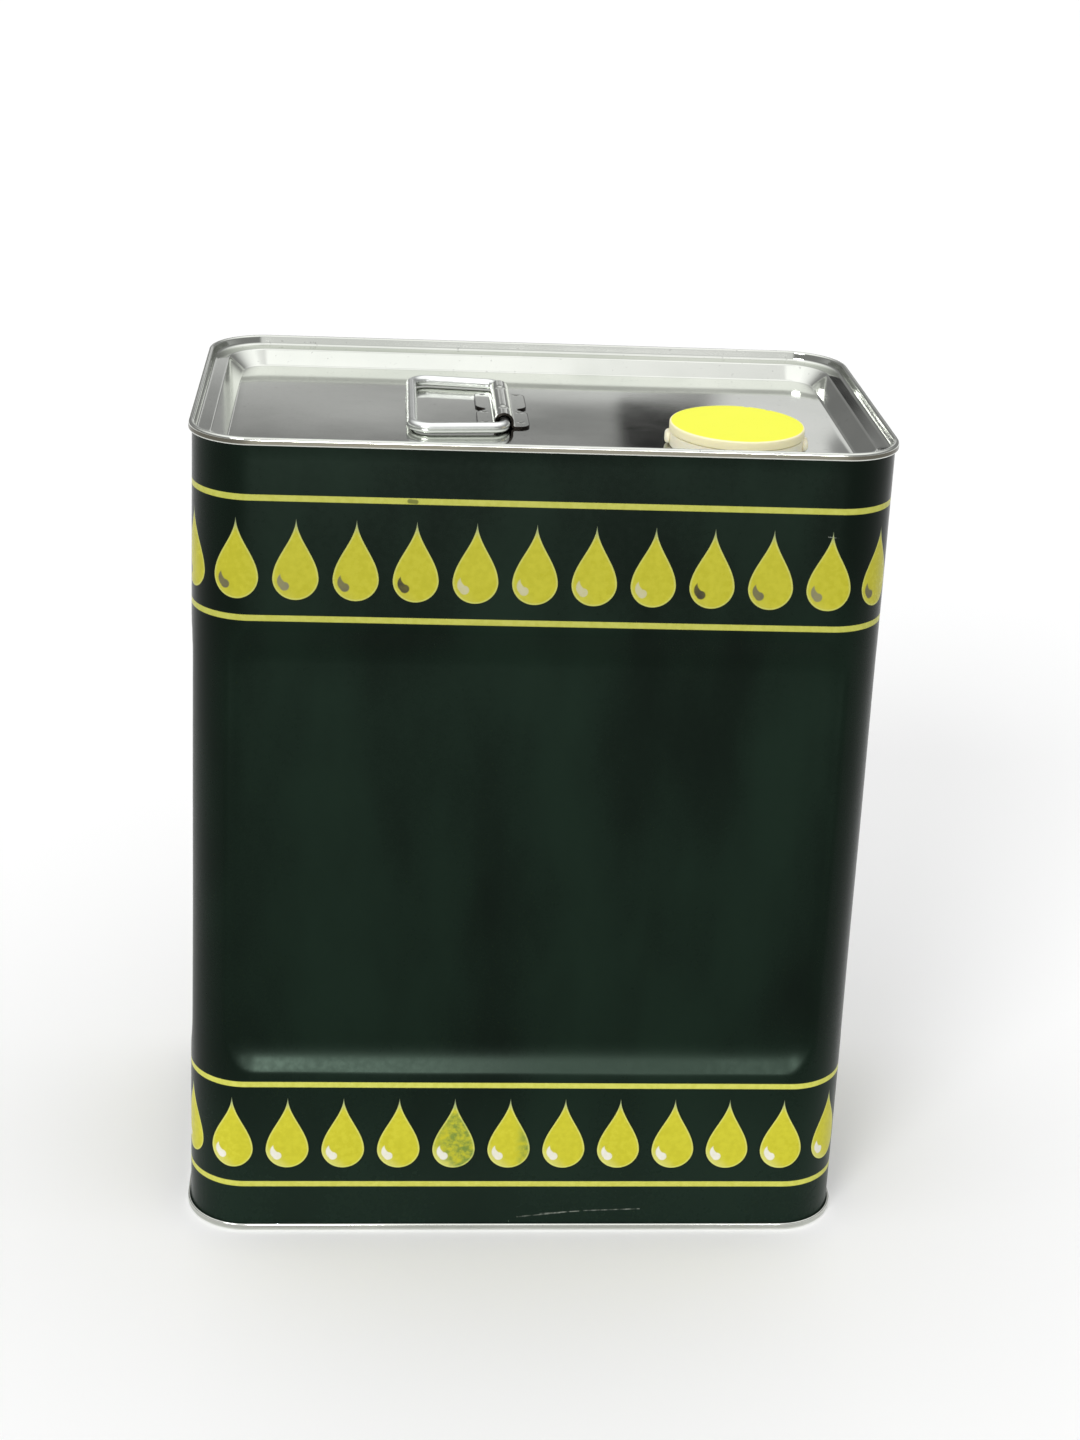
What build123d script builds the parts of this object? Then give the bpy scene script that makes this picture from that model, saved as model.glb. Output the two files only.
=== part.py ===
from build123d import *
import math
import os

# An oblong tinplate oil tin of about ten litres, with a wire handle and a pull-up spout.
# Millimetres. The origin is at the middle of the foot, +Z is up and the front faces -Y.

os.makedirs("parts", exist_ok=True)

# Whole tin, measured outside the body's sheet
body_width = 246.0
body_depth = 144.0
tin_height = 310.0
corner_radius = 21.5

# Tinplate and the double seams
body_sheet = 0.32
end_sheet = 0.32
seam_height = 2.8
layer_gap = 0.08
compound_space = 0.35
compound_gap = 0.05
hook_tip_gap = 0.2

# Panels pressed into the body's four faces
panel_foot = 66.0
panel_head = 241.0
panel_bevel = 9.0
panel_corner = 16.0
front_panel_width = 226.0
front_panel_depth = 1.8
side_panel_width = 120.0
side_panel_depth = 1.0

# Top end: chuck wall, ledge, second wall and flat panel
top_chuck_depth = 3.5
top_chuck_draft = 0.5
ledge_inset = 6.3
ledge_depth = 4.0
top_foot_inset = 11.6
top_panel_depth = 9.4
end_cut = 0.8
end_flat = 2.4

# Bottom end: one wall and a flat panel
bottom_chuck_depth = 3.0
bottom_chuck_draft = 0.3
bottom_foot_inset = 4.6
bottom_panel_depth = 4.4

# Spout hole and raised neck in the top end
spout_x = 68.8
spout_y = -35.6
neck_bore = 19.35
neck_height = 2.85
neck_curl_radius = 21.26
neck_curl_drop = 1.5
neck_foot_flat = 1.6
neck_foot_cut = 0.5
neck_curl_cut = 0.45

# Collar that grips the neck
collar_radius = 22.5
collar_wall = 1.1
collar_guide_wall = 1.0
collar_guide_depth = 10.0
collar_top = 3.9
collar_foot_gap = 0.05
collar_neck_gap = 0.05
bead_reach = 0.75
bead_height = 0.85

# Nozzle with its trough, skirt and lifting lugs
nozzle_bore = 12.4
nozzle_wall = 1.4
nozzle_lip = 6.4
trough_floor = -2.8
web_wall = 1.1
flange_wall = 1.0
skirt_radius = 24.0
skirt_wall = 1.1
skirt_foot = 0.4
lip_edge = 0.4
lug_reach = 1.9
lug_root = 0.8
lug_width = 9.0
lug_height = 4.5
lug_turn = -7.3

# Travel of the spout, and clearances about it and the cap
spout_travel = 24.0
slide_gap = 0.3
thread_gap = 0.4
seal_gap = 0.1

# Flexible membrane between the collar and the nozzle
membrane_wall = 0.6
membrane_gap = 0.1

# Cap and its liner
cap_radius = 24.2
cap_top = 8.8
cap_plate = 1.6
cap_skirt_wall = 1.2
cap_inner_wall = 1.4
cap_edge = 0.5
liner_wall = 0.6
notch_width = 1.7
notch_depth = 0.6
notch_angles = (54.0, 74.0)

# Wire handle
hinge_x = -13.6
handle_y = 3.0
wire_radius = 2.0
wire_lift = 0.35
bail_length = 33.2
bail_hinge_half = 30.0
bail_grip_half = 34.0
bail_hinge_bend = 5.0
bail_grip_bend = 6.5
butt_gap = 1.0

# Bracket that holds the handle
bracket_sheet = 0.8
bracket_length = 46.0
tunnel_gap = 0.7
bracket_bend = 0.9
flange_reach = 6.0
flange_corner = 2.6
notch_gap = 3.0
notch_reach = 3.6

# One overrun serves every cut
overrun = 1.0

# Middles of the seam's folded layers, outward from the body's outer face
wall_line = -body_sheet / 2
chuck_line = -body_sheet - layer_gap - end_sheet / 2
cover_hook_line = layer_gap + end_sheet / 2
body_hook_line = cover_hook_line + end_sheet / 2 + layer_gap + body_sheet / 2
seam_wall_line = body_hook_line + body_sheet / 2 + layer_gap + end_sheet / 2

# Depths of the seam's folds below its crown, to the middle of the sheet
crown_line = end_sheet / 2
fold_line = seam_height - end_sheet / 2
flange_line = end_sheet + compound_space + body_sheet / 2
body_hook_tip = seam_height - end_sheet - hook_tip_gap
cover_hook_tip = flange_line + body_sheet / 2 + hook_tip_gap

# Middles of the four upright corners' arcs
corner_x = body_width / 2 - corner_radius
corner_y = body_depth / 2 - corner_radius

# Planes through the spout's axis and the panel's upper face
panel_top = tin_height - top_panel_depth
spout_plane = Plane(origin=(spout_x, spout_y, panel_top), x_dir=(1, 0, 0), z_dir=(0, -1, 0))
spout_axis = Axis((spout_x, spout_y, panel_top), (0, 0, 1))


def sheet_section(points, cuts, sheet):
    """The section of a folded sheet, from the points of its middle line.

    Each fold with a cut is flattened to one facet, which starts that far from the fold's corner.
    """
    corners = [Vector(*point) for point in points]
    line = [corners[0]]
    for before, corner, after, cut in zip(corners, corners[1:], corners[2:], cuts):
        if cut:
            line.append(corner + (before - corner).normalized() * cut)
            line.append(corner + (after - corner).normalized() * cut)
        else:
            line.append(corner)
    line.append(corners[-1])
    squares = [(onward - point).normalized().rotate(Axis.Z, 90) for point, onward in zip(line, line[1:])]
    mitres = [squares[0]]
    for before, after in zip(squares, squares[1:]):
        mitres.append((before + after) / (1 + before.dot(after)))
    mitres.append(squares[-1])
    near_side = [point + mitre * sheet / 2 for point, mitre in zip(line, mitres)]
    far_side = [point - mitre * sheet / 2 for point, mitre in zip(line, mitres)]
    with BuildSketch() as section:
        with BuildLine():
            Polyline(*near_side, *reversed(far_side), close=True)
        make_face()
    return section.sketch


def carry_round(section):
    """Carry a section round the tin, a corner and then a side at a time.

    The section's x runs outward from the middle of a corner's arc, and its y is the height.
    """
    corners = [(corner_x, corner_y), (-corner_x, corner_y), (-corner_x, -corner_y), (corner_x, -corner_y)]
    sides = [corner_x, corner_y, corner_x, corner_y]
    for quarter in range(len(corners)):
        x, y = corners[quarter]
        outward = Vector(1, 0, 0).rotate(Axis.Z, 90 * quarter)
        onward = Vector(0, 1, 0).rotate(Axis.Z, 90 * quarter)
        with BuildSketch(Plane(origin=(x, y, 0), x_dir=outward, z_dir=-onward), mode=Mode.PRIVATE) as start:
            add(section)
        revolve(start.sketch, axis=Axis((x, y, 0), (0, 0, 1)), revolution_arc=90)
        with BuildSketch(Plane(origin=(x, y, 0), x_dir=onward, z_dir=outward), mode=Mode.PRIVATE) as end:
            add(section)
        extrude(end.sketch, amount=-2 * sides[quarter])


def seam_points(level, down):
    """Points of an end's sheet in the double seam, from the cover hook's tip to the chuck wall."""
    return [
        (corner_radius + cover_hook_line, level + down * cover_hook_tip),
        (corner_radius + cover_hook_line, level + down * fold_line),
        (corner_radius + seam_wall_line, level + down * fold_line),
        (corner_radius + seam_wall_line, level + down * crown_line),
        (corner_radius + chuck_line, level + down * crown_line),
    ]


# The seam's four folds are square, and only the bends of the ends' walls are flattened
seam_cuts = [0, 0, 0, 0]


def compound_section(level, down):
    """The bead of compound between the seam's crown and the body's flange."""
    middle = (wall_line + body_hook_line) / 2
    width = body_hook_line - wall_line
    with BuildSketch() as bead:
        with Locations((corner_radius + middle, level + down * (end_sheet + compound_space / 2))):
            Rectangle(width, compound_space - 2 * compound_gap)
    return bead.sketch


def panel_tool(distance, width, depth, inward, shift):
    """The space that a panel's pressing takes out of one face, moved inward by a shift."""
    height = panel_head - panel_foot
    outer = Plane(
        origin=-inward * (distance - shift) + Vector(0, 0, (panel_head + panel_foot) / 2),
        x_dir=inward.cross(Vector(0, 0, 1)),
        z_dir=inward,
    )
    with BuildPart() as tool:
        with BuildSketch(outer):
            RectangleRounded(width, height, panel_corner)
        with BuildSketch(outer.offset(depth)):
            RectangleRounded(width - 2 * panel_bevel, height - 2 * panel_bevel, panel_corner - panel_bevel / 2)
        loft(ruled=True)
    return tool.part


def panel_tools(shift):
    """The four panels' spaces, for the outer face at no shift and for the inner face at one sheet."""
    tools = []
    for side in (1, -1):
        tools.append(panel_tool(body_depth / 2, front_panel_width, front_panel_depth, Vector(0, side, 0), shift))
        tools.append(panel_tool(body_width / 2, side_panel_width, side_panel_depth, Vector(side, 0, 0), shift))
    return tools


# Body: one wrapper with a hook rolled outward at each end and panels pressed into its faces
wall_head = tin_height - body_hook_tip
wall_foot = body_hook_tip

with BuildPart() as body_space:
    with BuildSketch(Plane.XY.offset(wall_foot - overrun)):
        RectangleRounded(body_width - 2 * body_sheet, body_depth - 2 * body_sheet, corner_radius - body_sheet)
    extrude(amount=wall_head - wall_foot + 2 * overrun)
    for tool in panel_tools(body_sheet):
        add(tool, mode=Mode.SUBTRACT)

with BuildPart() as body_shell:
    with BuildSketch(Plane.XY.offset(wall_foot)):
        RectangleRounded(body_width, body_depth, corner_radius)
    extrude(amount=wall_head - wall_foot)
    for tool in panel_tools(0):
        add(tool, mode=Mode.SUBTRACT)
    add(body_space.part, mode=Mode.SUBTRACT)
    for level, down in ((tin_height, -1), (0, 1)):
        hook_points = [
            (corner_radius + wall_line, level + down * body_hook_tip),
            (corner_radius + wall_line, level + down * flange_line),
            (corner_radius + body_hook_line, level + down * flange_line),
            (corner_radius + body_hook_line, level + down * body_hook_tip),
        ]
        carry_round(sheet_section(hook_points, [0, 0], body_sheet))
body_shell.part.label = "body_shell"
export_step(body_shell.part, "parts/body_shell.step")

# Top end: seam, chuck wall, ledge, second wall, flat panel and the raised neck for the spout
top_panel_line = tin_height - top_panel_depth - end_sheet / 2
top_flat_inset = top_foot_inset + end_flat
top_points = seam_points(tin_height, -1) + [
    (corner_radius + chuck_line - top_chuck_draft, tin_height - top_chuck_depth - end_sheet / 2),
    (corner_radius - ledge_inset, tin_height - ledge_depth - end_sheet / 2),
    (corner_radius - top_foot_inset, top_panel_line),
    (corner_radius - top_flat_inset, top_panel_line),
]
top_section = sheet_section(top_points, seam_cuts + [end_cut, end_cut, end_cut], end_sheet)

neck_line = neck_bore + end_sheet / 2
neck_points = [
    (neck_line + neck_foot_flat, -end_sheet / 2),
    (neck_line, -end_sheet / 2),
    (neck_line, neck_height - end_sheet / 2),
    (neck_curl_radius - end_sheet / 2, neck_height - end_sheet / 2),
    (neck_curl_radius - end_sheet / 2, neck_height - neck_curl_drop),
]
with BuildSketch(spout_plane) as neck_section:
    add(sheet_section(neck_points, [neck_foot_cut, neck_curl_cut, neck_curl_cut], end_sheet))

with BuildPart() as top_end:
    carry_round(top_section)
    with BuildSketch(Plane.XY.offset(panel_top)):
        RectangleRounded(
            body_width - 2 * top_flat_inset,
            body_depth - 2 * top_flat_inset,
            corner_radius - top_flat_inset,
        )
        with Locations((spout_x, spout_y)):
            Circle(neck_line + neck_foot_flat, mode=Mode.SUBTRACT)
    extrude(amount=-end_sheet)
    revolve(neck_section.sketch, axis=spout_axis)
top_end.part.label = "top_end"
export_step(top_end.part, "parts/top_end.step")

# Bottom end: the same seam turned over, one wall and a flat panel
bottom_panel_line = bottom_panel_depth + end_sheet / 2
bottom_flat_inset = bottom_foot_inset + end_flat
bottom_points = seam_points(0, 1) + [
    (corner_radius + chuck_line - bottom_chuck_draft, bottom_chuck_depth),
    (corner_radius - bottom_foot_inset, bottom_panel_line),
    (corner_radius - bottom_flat_inset, bottom_panel_line),
]
bottom_section = sheet_section(bottom_points, seam_cuts + [end_cut, end_cut], end_sheet)

with BuildPart() as bottom_end:
    carry_round(bottom_section)
    with BuildSketch(Plane.XY.offset(bottom_panel_depth)):
        RectangleRounded(
            body_width - 2 * bottom_flat_inset,
            body_depth - 2 * bottom_flat_inset,
            corner_radius - bottom_flat_inset,
        )
    extrude(amount=end_sheet)
bottom_end.part.label = "bottom_end"
export_step(bottom_end.part, "parts/bottom_end.step")

# Sealing compound in both seams
with BuildPart() as top_seam_compound:
    carry_round(compound_section(tin_height, -1))
top_seam_compound.part.label = "top_seam_compound"
export_step(top_seam_compound.part, "parts/top_seam_compound.step")

with BuildPart() as bottom_seam_compound:
    carry_round(compound_section(0, 1))
bottom_seam_compound.part.label = "bottom_seam_compound"
export_step(bottom_seam_compound.part, "parts/bottom_seam_compound.step")

# Collar: an outer wall snapped over the neck's curl, a web and a guide inside the neck
guide_outer = neck_bore - collar_neck_gap
guide_inner = guide_outer - collar_guide_wall
wall_inner = collar_radius - collar_wall
web_foot = neck_height + collar_neck_gap
with BuildPart() as spout_collar:
    with BuildSketch(spout_plane):
        with BuildLine():
            Polyline(
                (guide_inner, -collar_guide_depth),
                (guide_outer, -collar_guide_depth),
                (guide_outer, web_foot),
                (wall_inner, web_foot),
                (wall_inner, bead_height),
                (wall_inner - bead_reach, bead_height - bead_reach / 2),
                (wall_inner, collar_foot_gap),
                (collar_radius, collar_foot_gap),
                (collar_radius, collar_top),
                (guide_inner, collar_top),
                close=True,
            )
        make_face()
    revolve(axis=spout_axis)
spout_collar.part.label = "spout_collar"
export_step(spout_collar.part, "parts/spout_collar.step")

# Nozzle: pouring tube, trough for the cap's thread skirt, flange, outer skirt and two lugs.
# Its foot hangs half the travel below the collar's, so that the membrane turns right over.
nozzle_radius = nozzle_bore + nozzle_wall
nozzle_foot = -collar_guide_depth - spout_travel / 2
trough_outer = guide_inner - slide_gap
trough_inner = trough_outer - web_wall
flange_foot = collar_top + slide_gap
flange_top = flange_foot + flange_wall
with BuildPart() as spout_nozzle:
    with BuildSketch(spout_plane) as nozzle_section:
        with BuildLine():
            Polyline(
                (nozzle_bore, nozzle_foot),
                (nozzle_radius, nozzle_foot),
                (nozzle_radius, trough_floor - web_wall),
                (trough_outer, trough_floor - web_wall),
                (trough_outer, flange_foot),
                (skirt_radius - skirt_wall, flange_foot),
                (skirt_radius - skirt_wall, skirt_foot),
                (skirt_radius, skirt_foot),
                (skirt_radius, flange_top),
                (trough_inner, flange_top),
                (trough_inner, trough_floor),
                (nozzle_radius, trough_floor),
                (nozzle_radius, nozzle_lip),
                (nozzle_bore, nozzle_lip),
                close=True,
            )
        make_face()
        chamfer(nozzle_section.vertices().group_by(Axis.Y)[-1], lip_edge)
    revolve(axis=spout_axis)
    for side in (0, 180):
        lug_way = Vector(1, 0, 0).rotate(Axis.Z, lug_turn + side)
        lug_plane = Plane(
            origin=(spout_x, spout_y, panel_top + skirt_foot),
            x_dir=lug_way,
            z_dir=lug_way.cross(Vector(0, 0, 1)),
        )
        with BuildSketch(lug_plane):
            with BuildLine():
                Line((skirt_radius - lug_root, lug_height), (skirt_radius - lug_root, 0))
                ThreePointArc(
                    (skirt_radius - lug_root, 0),
                    (skirt_radius + lug_reach, lug_height / 2),
                    (skirt_radius - lug_root, lug_height),
                )
            make_face()
        extrude(amount=lug_width / 2, both=True)
spout_nozzle.part.label = "spout_nozzle"
export_step(spout_nozzle.part, "parts/spout_nozzle.step")

# Membrane: a thin cone from the collar's foot down to the nozzle's foot
membrane_head = (guide_inner + guide_outer) / 2
membrane_end = nozzle_radius + membrane_gap
with BuildPart() as spout_membrane:
    with BuildSketch(spout_plane):
        with BuildLine():
            Polyline(
                (membrane_head - membrane_wall / 2, -collar_guide_depth - membrane_gap),
                (membrane_head + membrane_wall / 2, -collar_guide_depth - membrane_gap),
                (membrane_end + membrane_wall, nozzle_foot),
                (membrane_end, nozzle_foot),
                close=True,
            )
        make_face()
    revolve(axis=spout_axis)
spout_membrane.part.label = "spout_membrane"
export_step(spout_membrane.part, "parts/spout_membrane.step")

# Liner and cap: the liner rests on the nozzle's lip, the cap's inner skirt takes the thread
liner_foot = nozzle_lip + seal_gap
cap_underside = cap_top - cap_plate
thread_radius = nozzle_radius + thread_gap
with BuildPart() as cap_liner:
    with BuildSketch(Plane.XY.offset(panel_top + liner_foot)):
        with Locations((spout_x, spout_y)):
            Circle(thread_radius - slide_gap)
    extrude(amount=liner_wall)
cap_liner.part.label = "cap_liner"
export_step(cap_liner.part, "parts/cap_liner.step")

with BuildPart() as cap:
    with BuildSketch(spout_plane) as cap_section:
        with BuildLine():
            Polyline(
                (0, cap_top),
                (cap_radius, cap_top),
                (cap_radius, flange_top + slide_gap),
                (cap_radius - cap_skirt_wall, flange_top + slide_gap),
                (cap_radius - cap_skirt_wall, cap_underside),
                (thread_radius + cap_inner_wall, cap_underside),
                (thread_radius + cap_inner_wall, trough_floor + thread_gap),
                (thread_radius, trough_floor + thread_gap),
                (thread_radius, cap_underside),
                (0, cap_underside),
                close=True,
            )
        make_face()
        chamfer(cap_section.vertices().group_by(Axis.Y)[-1].sort_by(Axis.X)[-1], cap_edge)
    revolve(axis=spout_axis)
    with BuildSketch(Plane.XY.offset(panel_top + cap_top + overrun)):
        for angle in notch_angles:
            with Locations(
                (
                    spout_x + cap_radius * math.cos(math.radians(angle)),
                    spout_y + cap_radius * math.sin(math.radians(angle)),
                )
            ):
                Rectangle(2 * notch_depth, notch_width, rotation=angle)
    extrude(amount=-cap_plate - overrun, mode=Mode.SUBTRACT)
cap.part.label = "cap"
export_step(cap.part, "parts/cap.step")

# Handle bracket: a strip pressed into a half-round tunnel between two notched flanges
tunnel_radius = wire_radius + tunnel_gap
tunnel_line = tunnel_radius + bracket_sheet / 2
wire_height = wire_lift + wire_radius
flange_end = tunnel_line + bracket_sheet / 2 + flange_reach
bracket_plane = Plane(origin=(hinge_x, handle_y, panel_top), x_dir=(1, 0, 0), z_dir=(0, -1, 0))
with BuildPart() as handle_bracket:
    with BuildSketch(bracket_plane):
        with BuildLine():
            for side in (-1, 1):
                FilletPolyline(
                    (side * flange_end, bracket_sheet / 2),
                    (side * tunnel_line, bracket_sheet / 2),
                    (side * tunnel_line, wire_height),
                    radius=bracket_bend,
                )
            ThreePointArc(
                (-tunnel_line, wire_height), (0, wire_height + tunnel_line), (tunnel_line, wire_height)
            )
        trace(line_width=bracket_sheet)
    extrude(amount=bracket_length / 2, both=True)
    with BuildSketch(Plane.XY.offset(panel_top - overrun)):
        for side in (-1, 1):
            with Locations((hinge_x + side * flange_end, handle_y)):
                SlotOverall(2 * notch_reach, notch_gap)
    extrude(amount=bracket_sheet + 2 * overrun, mode=Mode.SUBTRACT)
    fillet(edges().filter_by(Axis.Z).filter_by(GeomType.LINE).group_by(Axis.X)[0], flange_corner)
    fillet(edges().filter_by(Axis.Z).filter_by(GeomType.LINE).group_by(Axis.X)[-1], flange_corner)
handle_bracket.part.label = "handle_bracket"
export_step(handle_bracket.part, "parts/handle_bracket.step")

# Handle: one bent wire whose ends butt inside the tunnel
grip_x = hinge_x - bail_length
with BuildPart() as handle_bail:
    with BuildLine(Plane.XY.offset(panel_top + wire_height)) as bail_path:
        FilletPolyline(
            (hinge_x, handle_y + butt_gap / 2),
            (hinge_x, handle_y + bail_hinge_half),
            (grip_x, handle_y + bail_grip_half),
            (grip_x, handle_y - bail_grip_half),
            (hinge_x, handle_y - bail_hinge_half),
            (hinge_x, handle_y - butt_gap / 2),
            radius=[bail_hinge_bend, bail_grip_bend, bail_grip_bend, bail_hinge_bend],
        )
    with BuildSketch(Plane(origin=bail_path.line @ 0, z_dir=bail_path.line % 0)):
        Circle(wire_radius)
    sweep(path=bail_path.line)
handle_bail.part.label = "handle_bail"
export_step(handle_bail.part, "parts/handle_bail.step")
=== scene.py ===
import math
from functools import partialmethod
from types import SimpleNamespace
import bmesh
import bpy
import numpy as np
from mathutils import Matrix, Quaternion, Vector


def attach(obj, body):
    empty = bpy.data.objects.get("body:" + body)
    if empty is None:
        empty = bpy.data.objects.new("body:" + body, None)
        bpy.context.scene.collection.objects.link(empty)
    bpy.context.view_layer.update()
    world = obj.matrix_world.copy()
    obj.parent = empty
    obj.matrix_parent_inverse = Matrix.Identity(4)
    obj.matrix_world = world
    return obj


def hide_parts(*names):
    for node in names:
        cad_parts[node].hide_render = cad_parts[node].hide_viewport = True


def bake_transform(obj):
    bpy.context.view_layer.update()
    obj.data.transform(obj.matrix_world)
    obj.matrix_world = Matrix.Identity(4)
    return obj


# The looks of an oblong oil tin: its printed wrapper, bare tinplate ends, wire handle and spout.
# The front faces -Y, +Z is up and the tin stands on z = 0. MM turns millimetres into metres.

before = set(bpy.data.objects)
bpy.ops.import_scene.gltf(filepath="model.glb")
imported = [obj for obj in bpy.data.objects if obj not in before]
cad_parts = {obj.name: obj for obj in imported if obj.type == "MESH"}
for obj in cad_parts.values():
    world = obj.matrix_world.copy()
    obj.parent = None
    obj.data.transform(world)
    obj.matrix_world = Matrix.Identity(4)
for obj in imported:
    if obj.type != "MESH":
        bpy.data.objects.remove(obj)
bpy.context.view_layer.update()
MM = 0.001

# Points this close are merged, lengths this close count as the same, and steeper edges look sharp
merge_distance = 1e-7
same_length = 0.01 * MM
sharp_angle = math.radians(40)

# Grids: spacing of the columns round the tin, counts of rows and columns, and steps of a bend
wrapper_spacing = 1.6 * MM
end_spacing = 2.2 * MM
bevel_rows = 13
flat_rows = 24
margin_rows = 9
top_panel_rows = 24
bottom_panel_rows = 13
turned_columns = 192
turned_steps = 5
cap_columns = 432
thread_rows = 44
membrane_rows = 17
membrane_columns = 144
lug_rows = 25
lug_columns = 48
wire_columns = 40
wire_steps = 20
bracket_rows = 185
bracket_flat_rows = 12
arch_rows = 23

# Wrapper and corners, and margins that keep its rows off the folds and bevels
body_width = 246.0 * MM
body_depth = 144.0 * MM
tin_height = 310.0 * MM
corner_radius = 21.5 * MM
sheet = 0.32 * MM
corner_x = body_width / 2 - corner_radius
corner_y = body_depth / 2 - corner_radius
seam_margin = 8.0 * MM
bevel_margin = 4.0 * MM
flat_margin = 6.0 * MM

# Double seam, outward from the wrapper's outer face and inward from the seam's crown
seam_height = 2.8 * MM
layer_gap = 0.08 * MM
compound_space = 0.35 * MM
hook_tip_gap = 0.2 * MM
crown_bend = 0.74 * MM
hook_bend = 0.36 * MM
wall_line = -sheet / 2
chuck_line = -sheet - layer_gap - sheet / 2
cover_hook_line = layer_gap + sheet / 2
body_hook_line = cover_hook_line + sheet + layer_gap
seam_wall_line = body_hook_line + sheet + layer_gap
crown_line = sheet / 2
fold_line = seam_height - sheet / 2
flange_line = sheet + compound_space + sheet / 2
body_hook_tip = seam_height - sheet - hook_tip_gap
cover_hook_tip = flange_line + sheet / 2 + hook_tip_gap
seam_bends = [hook_bend, hook_bend, crown_bend, crown_bend]

# The seam's wall, rougher and painted darker as a dim reflection: between two heights, over soft steps at
# both
shade_foot = 0.8 * MM
shade_head = 2.3 * MM
shade_foot_soft = 0.15 * MM
shade_head_soft = 0.1 * MM
bottom_shade_share = 0.3
wall_row_shares = (0.04, 0.12, 0.88, 0.96, 1.0)

# Panels pressed into the wrapper: the heights that they span, their bevel, half width and depth
panel_foot = 66.0 * MM
panel_head = 241.0 * MM
panel_bevel = 14.0 * MM
steep_share = 0.35
panel_corner = 16.0 * MM
front_panel_half = 113.0 * MM
front_panel_depth = 2.8 * MM
side_panel_half = 60.0 * MM
side_panel_depth = 1.0 * MM
crease_round = 1.6 * MM
face_wave = 0.16 * MM

# Ends
end_bend = 1.6 * MM
ledge_bend = end_bend * 0.8
top_chuck_depth = 3.5 * MM
top_chuck_draft = 0.5 * MM
ledge_inset = 6.3 * MM
ledge_depth = 4.0 * MM
top_foot_inset = 11.6 * MM
top_panel_depth = 9.4 * MM
bottom_chuck_depth = 3.0 * MM
bottom_chuck_draft = 0.3 * MM
bottom_foot_inset = 4.6 * MM
bottom_panel_depth = 4.4 * MM
end_flat = 2.4 * MM
panel_wave_height = 0.10 * MM
panel_top = tin_height - top_panel_depth

# Spout, measured from its axis and from the top panel
spout_x = 68.8 * MM
spout_y = -35.6 * MM
neck_bore = 19.35 * MM
neck_height = 2.85 * MM
neck_curl_radius = 21.26 * MM
neck_curl_drop = 1.5 * MM
neck_flat = 1.6 * MM
neck_bends = [0.8 * MM, 0.7 * MM, 0.7 * MM]
nozzle_bore = 12.4 * MM
nozzle_radius = 13.8 * MM
nozzle_lip = 6.4 * MM
nozzle_foot = -22.0 * MM
trough_floor = -2.8 * MM
trough_inner = 16.95 * MM
trough_outer = 18.05 * MM
web_wall = 1.1 * MM
flange_foot = 4.2 * MM
flange_top = 5.2 * MM
skirt_radius = 24.0 * MM
skirt_wall = 1.1 * MM
skirt_foot = 0.4 * MM
thread_lead = 4.0 * MM
thread_height = 0.28 * MM
thread_foot = -1.6 * MM
thread_head = 5.2 * MM
thread_half = 0.9 * MM
thread_fade = 1.0 * MM
thread_foot_gap = 0.6 * MM
thread_head_gap = 0.8 * MM
lug_reach = 1.9 * MM
lug_width = 9.0 * MM
lug_height = 4.5 * MM
lug_turn = -7.3
lug_power = 0.8
lug_inner_share = 0.35
lug_dish_depth = 0.7 * MM
lug_dish_radius = 1.5 * MM
guide_inner = 18.3 * MM
guide_outer = 19.3 * MM
guide_depth = 10.0 * MM
membrane_wall = 0.6 * MM
membrane_gap = 0.1 * MM
collar_radius = 22.5 * MM
collar_wall = 1.1 * MM
collar_top = 3.9 * MM
collar_foot = 0.05 * MM
collar_play = 0.05 * MM
bead_height = 0.85 * MM
bead_reach = 0.75 * MM

# Cap
cap_radius = 24.2 * MM
cap_top = 8.8 * MM
cap_plate = 1.6 * MM
cap_skirt_wall = 1.2 * MM
cap_thread_radius = 14.2 * MM
cap_inner_wall = 1.4 * MM
cap_edge = 0.7 * MM
cap_edge_rows = (2.4 * MM, 2.0 * MM)
cap_foot = 5.5 * MM
cap_inner_foot = -2.4 * MM
cap_notch_width = 1.7 * MM
cap_notch_depth = 0.6 * MM
cap_notch_angles = (54.0, 74.0)
cap_notch_soft = 0.15 * MM
cap_notch_ring = 1.1 * MM

# Handle and its bracket
hinge_x = -13.6 * MM
handle_y = 3.0 * MM
wire_radius = 2.0 * MM
wire_height = 2.35 * MM
bail_length = 33.2 * MM
bail_hinge_half = 30.0 * MM
bail_grip_half = 34.0 * MM
bail_hinge_bend = 5.0 * MM
bail_grip_bend = 6.5 * MM
butt_gap = 1.0 * MM
bracket_sheet = 0.8 * MM
bracket_half = 23.0 * MM
tunnel_line = 3.1 * MM
bracket_bend = 0.9 * MM
bracket_reach = 9.5 * MM
flange_corner = 4.2 * MM
bracket_notch_half = 1.5 * MM
bracket_notch_reach = 3.6 * MM
dimple_place = 13.6 * MM
dimple_radius = 1.3 * MM
dimple_depth = 0.5 * MM
spot_weld_places = (-17.0 * MM, -3.6 * MM, 20.8 * MM)
spot_weld_offset = 6.4 * MM
spot_weld_radius = 0.75 * MM
spot_weld_depth = 0.22 * MM

# Printed borders: heights of the stripes' middles and of the drops' feet, and the shape of a drop
print_soft = 0.12 * MM
stripe_heights = (288.66 * MM, 245.08 * MM, 61.74 * MM, 19.60 * MM)
stripe_half = 1.1 * MM
drop_count = 36
drop_shift = -3.53 * MM
drop_radius = 7.9 * MM
drop_height = 29.4 * MM
drop_swell = 0.88
flank_lean = 0.87
upper_drop_foot = 252.0 * MM
lower_drop_foot = 26.7 * MM

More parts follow.
